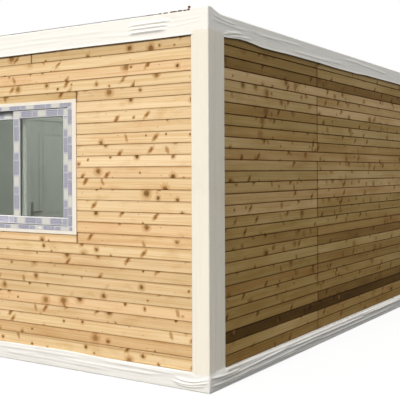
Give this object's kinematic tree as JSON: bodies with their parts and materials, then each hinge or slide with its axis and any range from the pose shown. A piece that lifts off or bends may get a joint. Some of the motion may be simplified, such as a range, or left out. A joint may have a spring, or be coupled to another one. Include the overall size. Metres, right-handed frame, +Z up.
{
  "type": "shipping container cabin",
  "caption": "Timber-clad cabin on a folded steel corner-post frame, with horizontal pine boarding, a sliding window in each end and a door in one long side.",
  "frame": {"origin": "on the ground, under the middle of the cabin", "axes": "+Z up; -Y the window end that faces the viewer's left; +X the plain long side; -X the long side with the door"},
  "size_m": [2.994, 6.059, 2.802],
  "materials": {
    "frame_white": "satin",
    "galvanised": "dull galvanised",
    "floor_vinyl": "matte",
    "inner_white": "matte",
    "pine": "thin satin stain",
    "film": "thin wrinkled protective film",
    "upvc": "semi-gloss",
    "trim_cream": "satin",
    "glass": "clear, faintly green",
    "handle_steel": "satin"
  },
  "bodies": {
    "root": {"corner_post_front_right": "frame_white", "corner_post_front_left": "frame_white", "corner_post_back_right": "frame_white", "corner_post_back_left": "frame_white", "top_corner_blocks": "frame_white", "bottom_corner_blocks": "frame_white", "top_rail_front": "frame_white", "top_rail_back": "frame_white", "top_rail_right": "frame_white", "top_rail_left": "frame_white", "bottom_rail_front": "frame_white", "bottom_rail_back": "frame_white", "bottom_rail_right": "frame_white", "bottom_rail_left": "frame_white", "floor_joists": "galvanised", "floor_deck": "floor_vinyl", "ceiling_panel": "inner_white", "roof_beams": "galvanised", "roof_sheeting": "galvanised", "boarding_front": "pine", "boarding_back": "pine", "boarding_right": "pine", "boarding_left": "pine", "wall_panel_front": "inner_white", "wall_panel_back": "inner_white", "wall_panel_right": "inner_white", "wall_panel_left": "inner_white", "post_film": "film", "top_rail_film": "film", "bottom_rail_film": "film", "front_window_frame": "upvc", "front_window_trim": "trim_cream", "front_window_right_sash": "upvc", "front_window_left_sash": "upvc", "front_window_right_glass": "glass", "front_window_left_glass": "glass", "back_window_frame": "upvc", "back_window_trim": "trim_cream", "back_window_right_sash": "upvc", "back_window_left_sash": "upvc", "back_window_right_glass": "glass", "back_window_left_glass": "glass", "door_frame": "upvc", "door_leaf": "upvc", "door_handles": "handle_steel"}
  },
  "joints": []
}
